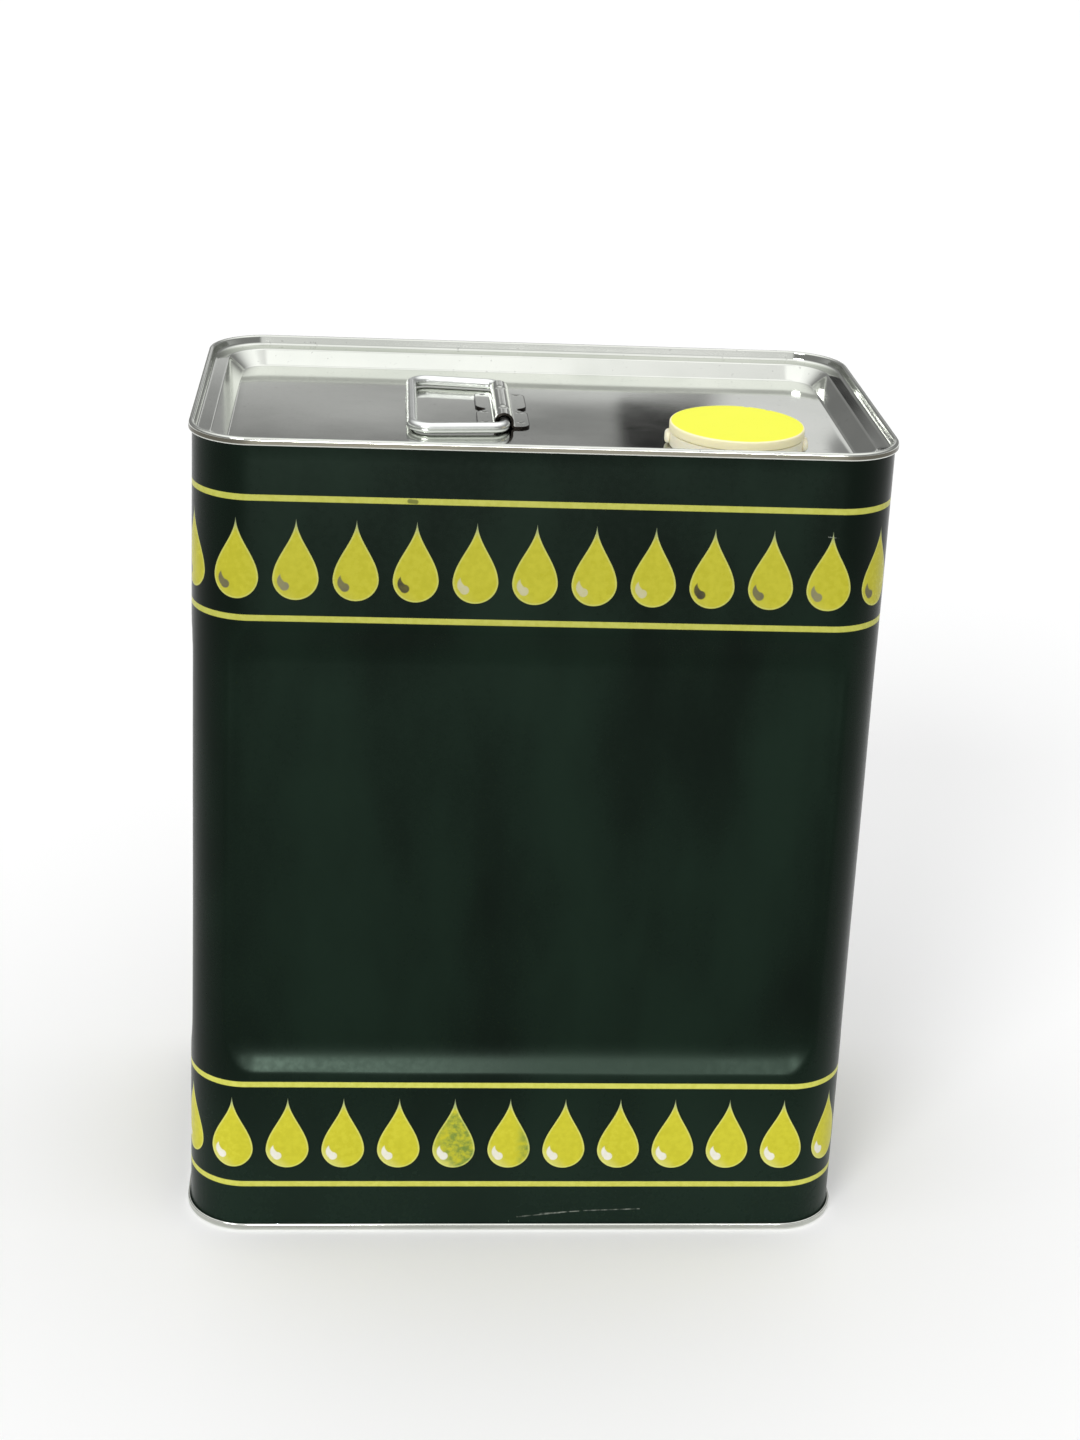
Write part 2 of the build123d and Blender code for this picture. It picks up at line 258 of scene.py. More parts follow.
# The bare side seam down the back: its distance around, and half its strip and bead
weld_place = 378.3 * MM
weld_margin = 2.1 * MM
weld_half = 0.45 * MM

# The comma left bare in a drop, from the drop's middle: two circles bound its tail, a third is its head
comma_soft = 0.25 * MM
comma_outer = (-2.85 * MM, -1.1 * MM, 3.42 * MM)
comma_inner = (-1.5 * MM, 1.6 * MM, 3.7 * MM)
comma_head = (-3.7 * MM, -3.0 * MM, 1.6 * MM)
comma_neck = -3.2 * MM

# Wear on the print: ends of fine scratches and a scuff on the front, as distances around and heights
scratch_half = 0.16 * MM
scratches = np.array([
    [(9.6, 6.6), (24.3, 7.7)],
    [(26.1, 7.9), (36.5, 8.3)],
    [(36.5, 8.3), (47.3, 8.7)],
    [(0.8, 5.2), (17.2, 7.0)],
    [(98.0, 279.4), (101.6, 279.0)],
]) * MM
nicks = np.array([[(695.4, 288.7), (697.6, 288.5)]]) * MM

# Colours of the print, among them painted shadow, reflections and highlights. A pair is the two ends of a
# mix
ground_greens = (0.0003, 0.0018, 0.0007, 1), (0.0038, 0.0108, 0.0060, 1)
foot_reflection_green = (0.015, 0.029, 0.021, 1)
shadow_green = (0.0005, 0.0012, 0.0008, 1)
scratch_grey = (0.30, 0.32, 0.28, 1)
stripe_yellows = (0.55, 0.55, 0.090, 1), (0.61, 0.61, 0.120, 1)
nick_brown = (0.08, 0.09, 0.02, 1)
drop_yellows = (0.53, 0.495, 0.029, 1), (0.585, 0.55, 0.038, 1)
thin_green = (0.17, 0.25, 0.045, 1)
halo_highlight_yellow = (0.66, 0.64, 0.20, 1)
rim_yellow = (0.66, 0.70, 0.22, 1)
tip_green = (0.25, 0.33, 0.24, 1)
comma_reflection_tones = (0.78, 0.76, 0.70, 1), (0.60, 0.57, 0.36, 1)
comma_dark_reflection = (0.045, 0.034, 0.028, 1)
upper_darkening = (0.02, 0.02, 0.01, 1)
weld_tones = (0.46, 0.46, 0.43, 1), (0.22, 0.21, 0.20, 1)

# Dull tones of tinplate: a painted dim reflection on the seams' walls, and the bracket's dark spot-weld
# marks with painted shade at its cut edges
seam_shade_tone = (0.12, 0.113, 0.09, 1)
weld_mark_and_edge_shade_tone = (0.035, 0.03, 0.027, 1)

# The camera where the photograph was taken, fitted to the tin's seams, stripes and drops
camera_place = Vector((-60.94, -859.93, 539.57)) * MM
camera_aim = Vector((16.96, 0.0, 262.03)) * MM
camera_roll = math.radians(2.986)
camera_lens = 60.4
camera_shift = (-0.0269, -0.1424)
floor_reach = 7.0

# The way round the tin by its corners' middles, from the front's middle: straight runs and quarter turns
quarter = corner_radius * math.pi / 2
runs = [corner_x, quarter, 2 * corner_y, quarter, 2 * corner_x, quarter, 2 * corner_y, quarter, corner_x]
run_ends = np.concatenate([[0.0], np.cumsum(runs)])
perimeter = run_ends[-1]
run_angles = np.radians([-90, -90, 0, 0, 90, 90, 180, 180, 270, 270])
run_x = np.array([0, 1, 1, 1, 1, -1, -1, -1, -1, 0]) * corner_x
run_y = np.array([-1, -1, -1, 1, 1, 1, 1, -1, -1, -1]) * corner_y


def round_ring(around, offset, height):
    """A ring round the tin, outward of the corners' middles by the corner radius and an offset.

    The distance around starts at the middle of the front and goes anticlockwise seen from above.
    """
    angle = np.interp(around, run_ends, run_angles)
    out = corner_radius + offset
    x = np.interp(around, run_ends, run_x) + out * np.cos(angle)
    y = np.interp(around, run_ends, run_y) + out * np.sin(angle)
    return np.stack([x, y, np.broadcast_to(height, x.shape)], axis=-1)


def full_turn(count):
    """Angles of a full turn, without its end."""
    return np.linspace(0, 2 * math.pi, count, endpoint=False)


def smooth_step(value):
    """0 below 0, 1 above 1, and 3v^2 - 2v^3 between."""
    v = np.clip(value, 0, 1)
    return v * v * (3 - 2 * v)


def bent_line(points, bends, steps=6):
    """The points of a line whose inner corners are arcs of the given radii, each tangent to its two runs."""
    points = [np.array(p, float) for p in points]
    line = [points[0]]
    for before, corner, after, bend in zip(points, points[1:], points[2:], bends):
        a = (before - corner) / np.linalg.norm(before - corner)
        b = (after - corner) / np.linalg.norm(after - corner)
        half = math.acos(np.clip(a @ b, -1, 1)) / 2
        if not bend or abs(half - math.pi / 2) < 1e-3:
            line.append(corner)
            continue
        middle = corner + (a + b) / np.linalg.norm(a + b) * bend / math.sin(half)
        start = corner + a * bend / math.tan(half) - middle
        end = corner + b * bend / math.tan(half) - middle
        sweep = math.acos(np.clip(start @ end / bend ** 2, -1, 1))
        for share in np.linspace(0, 1, steps + 1):
            reach = math.sin((1 - share) * sweep) * start + math.sin(share * sweep) * end
            line.append(middle + reach / math.sin(sweep))
    line.append(points[-1])
    return np.array(line)


def two_sides(line, thickness):
    """Both sides of a sheet, half its thickness to the left and to the right of its middle line."""
    way = np.diff(line, axis=0)
    way /= np.linalg.norm(way, axis=1, keepdims=True)
    square = np.stack([-way[:, 1], way[:, 0]], axis=1)
    before = np.vstack([square[:1], square])
    after = np.vstack([square, square[-1:]])
    mitre = (before + after) / (1 + np.sum(before * after, axis=1, keepdims=True))
    return line + mitre * thickness / 2, line - mitre * thickness / 2


def add_object(name, data):
    """An object in the scene."""
    thing = bpy.data.objects.new(name, data)
    bpy.context.scene.collection.objects.link(thing)
    return thing


def make_piece(name, points, material, close_rows=True, print_map=None, lining=None, dull_and_shade=None):
    """A smooth piece from a grid of points, rows by columns, with a quad between each four neighbours.

    A print map holds the columns' distances around and the rows' heights. A lining is a second material and
    the row that its side of the sheet starts at. Dull and shade holds each point's share of dullness and of
    painted shade, which the material reads.
    """
    rows, columns = points.shape[:2]
    i = np.arange(rows if close_rows else rows - 1)[:, None]
    j = np.arange(columns)[None, :]
    up, over = (i + 1) % rows, (j + 1) % columns
    quads = np.stack([i * columns + j, i * columns + over, up * columns + over, up * columns + j], axis=-1)
    shape = quads.shape[:2]
    mesh = bpy.data.meshes.new(name)
    mesh.from_pydata(points.reshape(-1, 3).tolist(), [], quads.reshape(-1, 4).tolist())
    if print_map is not None:
        across, heights = print_map
        left, right = (np.broadcast_to(across[k], shape) for k in (j, j + 1))
        low, high = (np.broadcast_to(heights[k], shape) for k in (i, up))
        corners = np.stack([left, low, right, low, right, high, left, high], axis=-1)
        layer = mesh.uv_layers.new(name="print")
        layer.data.foreach_set("uv", corners.reshape(-1).astype(np.float32))
    mesh.materials.append(material)
    if lining:
        mesh.materials.append(lining[0])
        side = np.broadcast_to(i >= lining[1], shape)
        mesh.polygons.foreach_set("material_index", side.reshape(-1).astype(np.int32))
    if dull_and_shade is not None:
        shares = np.broadcast_to(dull_and_shade, points.shape[:2]).astype(np.float32).reshape(-1)
        mesh.attributes.new("dull_and_shade", "FLOAT", "POINT").data.foreach_set("value", shares)
    work = bmesh.new()
    work.from_mesh(mesh)
    bmesh.ops.remove_doubles(work, verts=work.verts, dist=merge_distance)
    bmesh.ops.dissolve_degenerate(work, edges=work.edges, dist=merge_distance / 10)
    bmesh.ops.recalc_face_normals(work, faces=work.faces)
    work.to_mesh(mesh)
    work.free()
    mesh.shade_smooth()
    mesh.set_sharp_from_angle(angle=sharp_angle)
    return add_object(name, mesh)


def settle(piece, body, slot, *nodes):
    """The piece rides on a body and stands for CAD nodes. The slot is not used."""
    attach(piece, body)
    if nodes:
        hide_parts(*nodes)
    return piece


def set_socket(tree, socket, value):
    """Set a socket to a constant, or link it to a field or to another node's output."""
    if isinstance(value, Field):
        value = value.socket
    if isinstance(value, bpy.types.NodeSocket):
        tree.links.new(value, socket)
    else:
        socket.default_value = value


def set_inputs(tree, node, **inputs):
    """Set inputs of a node, named with a low line for each space, and return the node."""
    for name, value in inputs.items():
        set_socket(tree, node.inputs[name.replace("_", " ")], value)
    return node


class Field:
    """A number that varies over a surface or the sky. Sums on it become Math nodes of one tree."""

    def __init__(self, tree, socket):
        self.tree = tree
        self.socket = socket

    def join(self, operation, *others):
        node = self.tree.nodes.new("ShaderNodeMath")
        node.operation = operation
        for place, value in enumerate((self,) + others):
            set_socket(self.tree, node.inputs[place], value)
        return Field(self.tree, node.outputs[0])

    __add__ = partialmethod(join, "ADD")
    __sub__ = partialmethod(join, "SUBTRACT")
    __mul__ = partialmethod(join, "MULTIPLY")
    __truediv__ = partialmethod(join, "DIVIDE")
    above = partialmethod(join, "GREATER_THAN")
    least = partialmethod(join, "MINIMUM")
    most = partialmethod(join, "MAXIMUM")
    size = partialmethod(join, "ABSOLUTE")
    whole = partialmethod(join, "FLOOR")
    root = partialmethod(join, "SQRT")
    cosine = partialmethod(join, "COSINE")

    def rest(self):
        """What is left of 1."""
        return self * -1 + 1

    def rise(self, low, high):
        """0 where the field is below low, 1 above high, with a smooth step between."""
        node = self.tree.nodes.new("ShaderNodeMapRange")
        node.interpolation_type = "SMOOTHSTEP"
        set_inputs(self.tree, node, Value=self, From_Min=low, From_Max=high)
        return Field(self.tree, node.outputs["Result"])

    def within(self, limit):
        """1 below a length and 0 above it, with the print's soft edge."""
        return self.rise(limit - print_soft, limit + print_soft).rest()

    def between(self, low, high, soft):
        """1 between two limits and 0 outside, with soft steps at both."""
        return self.rise(low - soft, low + soft) * self.rise(high - soft, high + soft).rest()


def coordinates(tree, vector):
    """X, Y and Z of a vector, as fields."""
    split = set_inputs(tree, tree.nodes.new("ShaderNodeSeparateXYZ"), Vector=vector)
    return [Field(tree, split.outputs[axis]) for axis in "XYZ"]


class Finish:
    """One material: a Principled shader fed with constants, colours and fields."""

    def __init__(self, name, **inputs):
        self.material = bpy.data.materials.new(name)
        self.material.use_nodes = True
        self.tree = self.material.node_tree
        self.shader = self.tree.nodes["Principled BSDF"]
        self.take(**inputs)

    def take(self, **inputs):
        set_inputs(self.tree, self.shader, **inputs)

    def node(self, kind, **inputs):
        return set_inputs(self.tree, self.tree.nodes.new(kind), **inputs)

    def where(self):
        """Object coordinates."""
        return self.node("ShaderNodeTexCoord").outputs["Object"]

    def noise(self, scale, detail=2.0, roughness=0.5, stretch=(1, 1, 1)):
        """Noise in object coordinates, stretched so that a grain can run one way."""
        place = self.node("ShaderNodeMapping", Vector=self.where(), Scale=stretch).outputs["Vector"]
        node = self.node("ShaderNodeTexNoise", Vector=place, Scale=scale, Detail=detail, Roughness=roughness)
        return Field(self.tree, node.outputs["Fac"])

    def dull_and_shade(self):
        """The piece's own share of dullness and painted shade, 0 where it has none."""
        node = self.node("ShaderNodeAttribute")
        node.attribute_name = "dull_and_shade"
        return Field(self.tree, node.outputs["Fac"])

    def mix(self, share, first, second):
        """The first colour where the share is 0 and the second where it is 1."""
        node = self.tree.nodes.new("ShaderNodeMix")
        node.data_type = "RGBA"
        for place, value in ((0, share), (6, first), (7, second)):
            set_socket(self.tree, node.inputs[place], value)
        return node.outputs[2]

    def bump(self, height, distance, strength=1.0):
        """Raise the surface by a field, on top of what is raised already."""
        node = self.node("ShaderNodeBump", Height=height, Distance=distance, Strength=strength)
        before = self.shader.inputs["Normal"].links
        if before:
            set_inputs(self.tree, node, Normal=before[0].from_socket)
        self.take(Normal=node.outputs["Normal"])


def nearest_drop(across, height):
    """The drop nearest a place: its number from the front's middle, the place in it and its outline.

    A drop of radius r is a circle below its middle. Above it, with t from 0 there to 1 at the tip, the half
    width is r (s (1 + cos(pi t)) / 2 + (1 - s) (1 - t)), where s is the share of the swell.
    """
    pitch = perimeter / drop_count
    place = (across - drop_shift + pitch / 2) / pitch
    number = place.whole()
    sideways = (place - number - 0.5) * pitch
    upper = height.above((upper_drop_foot + lower_drop_foot) / 2)
    up = height - lower_drop_foot - drop_radius - upper * (upper_drop_foot - lower_drop_foot)
    tip = drop_height - drop_radius
    taper = (up / tip).most(0).least(1)
    swell = (taper * math.pi).cosine() * 0.5 + 0.5
    half_width = (swell * drop_swell + taper.rest() * (1 - drop_swell)) * drop_radius
    ball = (sideways * sideways + up * up).root() * -1 + drop_radius
    flank = (half_width - sideways.size()) * flank_lean
    above = up.above(0)
    return SimpleNamespace(
        turn=number - number.above(drop_count / 2) * drop_count, upper=upper, sideways=sideways, up=up,
        taper=taper, depth=ball * above.rest() + flank * above, reach=up.rise(tip - 0.3 * MM, tip).rest(),
    )


def printed_wrapper():
    """Varnished print on tinplate: a very dark green ground, four yellow stripes and two rows of drops."""
    finish = Finish("printed_tinplate", Specular_IOR_Level=0.10, Specular_Tint=(0.7, 1.0, 0.8, 1))
    where = finish.node("ShaderNodeUVMap")
    where.uv_map = "print"
    across, height, _ = coordinates(finish.tree, where.outputs["UV"])
    mottle = finish.noise(420, 3, 0.6).rise(0.3, 0.7)
    cloud = finish.noise(20, 3, 0.5, (1, 1, 0.4)).rise(0.3, 0.7)
    drop = nearest_drop(across, height)

    colour = ground_colour(finish, across, height, drop, mottle, cloud)
    # The upper rows' stripes and drops are mixed toward a darker tone
    yellow = finish.mix(drop.upper * 0.24, stripe_colour(finish, across, height, mottle), upper_darkening)
    colour = finish.mix(in_stripes(height), colour, yellow)
    yellow = finish.mix(drop.upper * 0.22, drop_colour(finish, drop, mottle), upper_darkening)
    colour = finish.mix(drop.depth.rise(-print_soft, print_soft) * drop.reach, colour, yellow)

    from_weld = (across - weld_place).size()
    strip, bead = from_weld.within(weld_margin), from_weld.within(weld_half)
    colour = finish.mix(strip, colour, finish.mix(bead, *weld_tones))
    roughness = cloud * 0.06 + mottle * 0.03 + bead * 0.25 + 0.23
    finish.take(Base_Color=colour, Metallic=strip, Roughness=roughness)
    finish.bump(finish.noise(900), 0.02 * MM, 0.25)
    finish.bump(bead, 0.05 * MM, 0.6)
    return finish.material


def ground_colour(finish, across, height, drop, mottle, cloud):
    """The green ground: cloudy, darker at the top, in painted shadow round each drop, paler at the foot from
    a painted reflection of the floor, and scratched.
    """
    colour = finish.mix((cloud - height.rise(210 * MM, 280 * MM) * 0.3).most(0), *ground_greens)
    # Painted reflection: the bright floor mirrored in the wrapper's lower part makes the ground paler there
    colour = finish.mix(height.rise(15 * MM, 80 * MM).rest() * 0.45, colour, foot_reflection_green)
    shadow = drop.depth.rise(-0.9 * MM, -0.1 * MM) * drop.reach
    colour = finish.mix(shadow * 0.6, colour, shadow_green)
    worn = from_runs(across, height, scratches).within(scratch_half)
    return finish.mix(worn * mottle, colour, scratch_grey)


def in_stripes(height):
    """1 on the four stripes and 0 off them."""
    nearest = (height - stripe_heights[0]).size()
    for middle in stripe_heights[1:]:
        nearest = nearest.least((height - middle).size())
    return nearest.within(stripe_half)


def stripe_colour(finish, across, height, mottle):
    """Yellow of the stripes, nicked in one place."""
    nick = (from_runs(across, height, nicks) - 0.5 * MM).rise(0, 0.6 * MM).rest()
    return finish.mix(nick * 0.75, finish.mix(mottle, *stripe_yellows), nick_brown)


def drop_colour(finish, drop, mottle):
    """Yellow of a drop: thin in two of them, a painted highlight to the lower left, paler at the rim,
    greener at the tip.
    """
    colour = finish.mix(mottle, *drop_yellows)
    colour = finish.mix(thin_print(drop) * mottle, colour, thin_green)
    # Painted highlight: a pale glow to the lower left, strong in the lower row and faint in the upper
    halo_highlight = (drop.sideways * -0.7 - drop.up * 0.7).rise(0.35 * drop_radius, drop_radius)
    colour = finish.mix(halo_highlight * (drop.upper * -0.6 + 0.75), colour, halo_highlight_yellow)
    rim = drop.depth.rise(0.3 * MM, 0.75 * MM).rest()
    colour = finish.mix(rim * 0.5, colour, rim_yellow)
    colour = finish.mix(drop.taper.rise(0.72, 1.0) * 0.8, colour, tip_green)
    # The comma is left bare by the print; its tone is a painted reflection, varied from drop to drop
    return finish.mix(comma(drop) * (mottle * 0.14 + 0.84), colour, comma_reflection(finish, drop))


def comma_reflection(finish, drop):
    """Painted reflection in a comma's bare tin: bright in the lower row, soft at the front's middle above
    and dark beside it.
    """
    off_middle = (drop.turn - 0.5).size()
    dark = ((off_middle - 2.5) * (math.pi / 2)).cosine() * 0.17 + 0.83
    dark = dark * off_middle.above(2)
    return finish.mix(dark * drop.upper, finish.mix(drop.upper, *comma_reflection_tones), comma_dark_reflection)


def thin_print(drop):
    """Thin print in the lower row: most of a drop left of the front's middle and the right of the next."""
    first = (drop.turn + 1).size().above(0.5).rest() * (drop.sideways.rise(-7 * MM, 1 * MM) * 0.5 + 0.5)
    second = drop.turn.size().above(0.5).rest() * drop.sideways.rise(1.5 * MM, 7 * MM)
    return first.most(second) * drop.upper.rest()


def from_runs(across, height, runs):
    """Distance from the nearest of some straight runs."""
    nearest = None
    for (start_x, start_z), (end_x, end_z) in runs:
        dx, dz = end_x - start_x, end_z - start_z
        x, z = across - start_x, height - start_z
        share = ((x * dx + z * dz) / (dx * dx + dz * dz)).most(0).least(1)
        gap_x, gap_z = x - share * dx, z - share * dz
        gap = (gap_x * gap_x + gap_z * gap_z).root()
        nearest = nearest.least(gap) if nearest else gap
    return nearest


def from_circle(drop, circle):
    """How far a place in a drop lies outside a circle, less than 0 inside it."""
    x, y, radius = circle
    dx, dy = drop.sideways - x, drop.up - y
    return (dx * dx + dy * dy).root() - radius


def comma(drop):
    """The comma: a tail inside one circle and outside another, left of its neck, and a round head."""
    tail = (from_circle(drop, comma_outer) * -1).least(from_circle(drop, comma_inner))
    tail = tail.least(drop.sideways * -1 + comma_neck)
    head = from_circle(drop, comma_head) * -1
    return tail.most(head).rise(-comma_soft, comma_soft)


def bare_tinplate(name, dull_shade_colour):
    """Bright rolled tinplate: a fine grain along X, cloudy wiping marks, pinprick specks, and dull places in
    painted shade.
    """
    finish = Finish(name, Metallic=1.0)
    grain = finish.noise(2600, 3, 0.6, (0.04, 1, 1))
    cloud = finish.noise(22, 3, 0.55).rise(0.3, 0.7)
    specks = finish.noise(700, 1, 0.4).rise(0.70, 0.78)
    dull_and_shade = finish.dull_and_shade()
    colour = finish.mix(cloud, (0.635, 0.655, 0.61, 1), (0.71, 0.725, 0.68, 1))
    colour = finish.mix(specks * 0.35, colour, (0.30, 0.30, 0.28, 1))
    roughness = cloud * 0.03 + grain * 0.04 + dull_and_shade * 0.2 + 0.04
    # Painted shade: dull places take a darker colour as well as more roughness
    finish.take(Base_Color=finish.mix(dull_and_shade, colour, dull_shade_colour), Roughness=roughness)
    finish.bump(grain, 0.012 * MM, 0.12)
    return finish.material


def tinned_wire():
    """Bright drawn wire with fine lines along it and a little wear."""
    finish = Finish("tinned_wire", Metallic=1.0)
    wear = finish.noise(120, 3, 0.6)
    colour = finish.mix(wear, (0.78, 0.80, 0.78, 1), (0.88, 0.90, 0.88, 1))
    finish.take(Base_Color=colour, Roughness=wear * 0.12 + 0.17)
    finish.bump(finish.noise(3200, 2, 0.5, (0.3, 1, 1)), 0.01 * MM, 0.4)
    return finish.material


def natural_plastic():
    """Waxy natural polyethylene: cream, a little translucent, with a faint moulded orange peel."""
    finish = Finish("natural_plastic", Subsurface_Weight=0.35, Subsurface_Scale=0.004,
                    Subsurface_Radius=(1.0, 0.75, 0.45), Specular_IOR_Level=0.4)
    cloud = finish.noise(60)
    colour = finish.mix(cloud, (0.96, 0.87, 0.64, 1), (0.98, 0.90, 0.70, 1))
    finish.take(Base_Color=colour, Roughness=cloud * 0.12 + 0.36)
    finish.bump(finish.noise(1500), 0.02 * MM, 0.3)
    return finish.material


def yellow_plastic():
    """Bright yellow moulded cap with a soft gloss, and a painted glow that makes its thin edge paler, as
    light passing through it.
    """
    finish = Finish("yellow_plastic", Subsurface_Weight=0.10, Subsurface_Scale=0.002,
                    Subsurface_Radius=(1.0, 0.9, 0.2), Specular_IOR_Level=0.2)
    cloud = finish.noise(70)
    x, y, _ = coordinates(finish.tree, finish.where())
    x, y = x - spout_x, y - spout_y
    # Painted glow: the cap's rim is paler, standing in for light passing through it
    edge = (x * x + y * y).root().rise(cap_radius - 0.85 * MM, cap_radius - 0.35 * MM)
    colour = finish.mix(cloud, (0.93, 0.95, 0.05, 1), (0.96, 0.98, 0.08, 1))
    finish.take(Base_Color=finish.mix(edge, colour, (1.0, 0.92, 0.60, 1)), Roughness=cloud * 0.10 + 0.42)
    finish.bump(finish.noise(1800), 0.02 * MM, 0.25)
    return finish.material


def liner_foam():
    """White sealing foam with fine closed cells."""
    finish = Finish("liner_foam")
    cells = finish.node("ShaderNodeTexVoronoi", Vector=finish.where(), Scale=2400.0)
    cell = Field(finish.tree, cells.outputs["Distance"])
    colour = finish.mix(cell, (0.90, 0.90, 0.87, 1), (0.80, 0.80, 0.78, 1))
    finish.take(Base_Color=colour, Roughness=cell * 0.2 + 0.6)
    finish.bump(cell, 0.03 * MM, 0.5)
    return finish.material


def seam_compound():
    """Dull set sealing compound."""
    finish = Finish("seam_compound")
    cloud = finish.noise(300, 3, 0.6)
    colour = finish.mix(cloud, (0.40, 0.37, 0.30, 1), (0.52, 0.48, 0.40, 1))
    finish.take(Base_Color=colour, Roughness=cloud * 0.2 + 0.65)
    finish.bump(cloud, 0.03 * MM, 0.4)
    return finish.material


def stations(spacing):
    """Distances round the tin, evenly spaced on each straight and each corner."""
    parts = []
    for start, end in zip(run_ends, run_ends[1:]):
        count = max(2, round((end - start) / spacing))
        parts.append(np.linspace(start, end, count, endpoint=False))
    return np.concatenate(parts)


def panel_depth(across, height, half_width, depth):
    """Depth of a face's pressing: 0 outside a rounded rectangle, and inside it a bevel down to the flat.

    The bevel is straight for its first share, then eases out as a parabola that starts at the same slope.
    """
    middle, half_height = (panel_foot + panel_head) / 2, (panel_head - panel_foot) / 2
    dx = np.abs(across) - half_width + panel_corner
    dz = np.abs(height - middle) - half_height + panel_corner
    outside = np.hypot(np.maximum(dx, 0), np.maximum(dz, 0)) + np.minimum(np.maximum(dx, dz), 0)
    v = np.clip(-(outside - panel_corner) / panel_bevel, 0, 1)
    slope = 2 / (1 + steep_share)
    eased = 1 - slope * (1 - v) ** 2 / (2 * (1 - steep_share))
    return depth * np.where(v < steep_share, slope * v, eased)


def press_panels(points, inset):
    """Press the four panels: no point stays further out than its face less the panel's depth.

    A parabola as wide as the blend rounds the crease.
    """
    x, y, z = points[..., 0], points[..., 1], points[..., 2]
    for value, across, half, width, depth in (
        (y, x, body_depth / 2, front_panel_half, front_panel_depth),
        (x, y, body_width / 2, side_panel_half, side_panel_depth),
    ):
        pressed = panel_depth(across, z, width, depth)
        limit = half - inset - pressed
        blend = crease_round * pressed / depth
        near = np.maximum(blend - np.abs(np.abs(value) - limit), 0)
        least = np.minimum(np.abs(value), limit) - near ** 2 / np.maximum(4 * blend, 1e-9)
        value[...] = np.where(pressed > 0, np.sign(value) * least, value)


def wave(around, height):
    """Slight waves of a thin sheet: three crossed sines that die out at the seams."""
    turn = 2 * math.pi * around / perimeter
    rise = height / tin_height
    sines = np.sin(5 * turn + 9 * rise) + np.sin(8 * turn - 13 * rise + 1) + np.sin(3 * turn + 17 * rise + 2)
    return face_wave / 3 * sines * np.clip(np.sin(math.pi * rise), 0, 1)


def wrapper(tinplate):
    """The wrapper: one profile of a sheet, hooked outward at both ends, carried round the tin."""
    bevel = np.linspace(0, panel_bevel, bevel_rows)
    low_flat, high_flat = panel_foot + panel_bevel + flat_margin, panel_head - panel_bevel - flat_margin
    heights = np.concatenate([
        np.linspace(seam_margin, panel_foot - bevel_margin, margin_rows),
        panel_foot + bevel,
        np.linspace(low_flat, high_flat, flat_rows),
        panel_head - bevel[::-1],
        np.linspace(panel_head + bevel_margin, tin_height - seam_margin, margin_rows),
    ])
    corners = [
        (body_hook_line, body_hook_tip), (body_hook_line, flange_line), (wall_line, flange_line),
        *[(wall_line, h) for h in heights],
        (wall_line, tin_height - flange_line), (body_hook_line, tin_height - flange_line),
        (body_hook_line, tin_height - body_hook_tip),
    ]
    bends = [hook_bend, hook_bend] + [0] * len(heights) + [hook_bend, hook_bend]
    inner, outer = two_sides(bent_line(corners, bends), sheet)
    profile = np.vstack([outer, inner[::-1]])
    around = stations(wrapper_spacing)
    offset, height = profile[:, :1], profile[:, 1:]
    points = round_ring(around[None, :], offset + wave(around[None, :], height), height)
    press_panels(points, np.where(np.arange(len(profile)) < len(outer), 0, sheet)[:, None])
    print_map = (np.append(around, perimeter), profile[:, 1])
    piece = make_piece("printed_wrapper", points, printed_wrapper(), print_map=print_map,
                       lining=(tinplate, len(outer)))
    return settle(piece, "tin", "printed_tinplate", "body_shell")


def seam_corners(level, down):
    """Middle line of an end's sheet in its double seam, from the cover hook's tip to the chuck wall."""
    return [
        (cover_hook_line, level + down * cover_hook_tip),
        (cover_hook_line, level + down * fold_line),
        (seam_wall_line, level + down * fold_line),
        (seam_wall_line, level + down * crown_line),
        (chuck_line, level + down * crown_line),
    ]


def seam_dull_and_shade(profile):
    """Dullness and painted shade of an end's section: the seam's upright wall away from its folds, darkened
    as a dim reflection.
    """
    height = np.minimum(profile[:, 1], tin_height - profile[:, 1])
    off_foot = smooth_step((height - shade_foot) / shade_foot_soft)
    off_head = smooth_step((shade_head - height) / shade_head_soft)
    return np.where(profile[:, 0] > seam_wall_line, off_foot * off_head, 0)[:, None]


def wall_rows(line):
    """The line with more points on the seam's wall near each fold, so that the dullness and painted shade
    can end there.
    """
    steps = [line[:1]]
    for start, end in zip(line, line[1:]):
        across, up = np.abs(end - start)
        on_wall = up > 1 * MM and across < same_length and start[0] > 0
        shares = wall_row_shares if on_wall else (1.0,)
        steps.append(np.array([start + (end - start) * share for share in shares]))
    return np.concatenate(steps)


def rings(profile, around):
    """A profile of offsets and heights carried round the tin, one ring a row."""
    return round_ring(around[None, :], profile[:, :1], profile[:, 1:])


def circles(radius, height, angles):
    """Radii and heights above the panel, carried round the spout's axis."""
    x = spout_x + radius * np.cos(angles)
    y = spout_y + radius * np.sin(angles)
    return np.stack([x, y, np.broadcast_to(panel_top + height, x.shape)], axis=-1)


def end_sheet(name, node, tinplate, faces, shade_share):
    """A closed sheet from its two faces: each a section, and a grid of points that starts with its rings."""
    (upper, upper_grid), (under, under_grid) = faces
    points = np.concatenate([upper_grid, under_grid[::-1]])
    dull_and_shade = np.zeros((len(points), 1))
    # Painted shade: the seam's wall is darkened as a dim reflection, less so on the bottom end
    dull_and_shade[:len(upper)] = seam_dull_and_shade(upper) * shade_share
    dull_and_shade[len(points) - len(under):] = seam_dull_and_shade(under)[::-1] * shade_share
    piece = make_piece(name, points, tinplate, dull_and_shade=dull_and_shade)
    return settle(piece, "tin", "bare_tinplate", node)


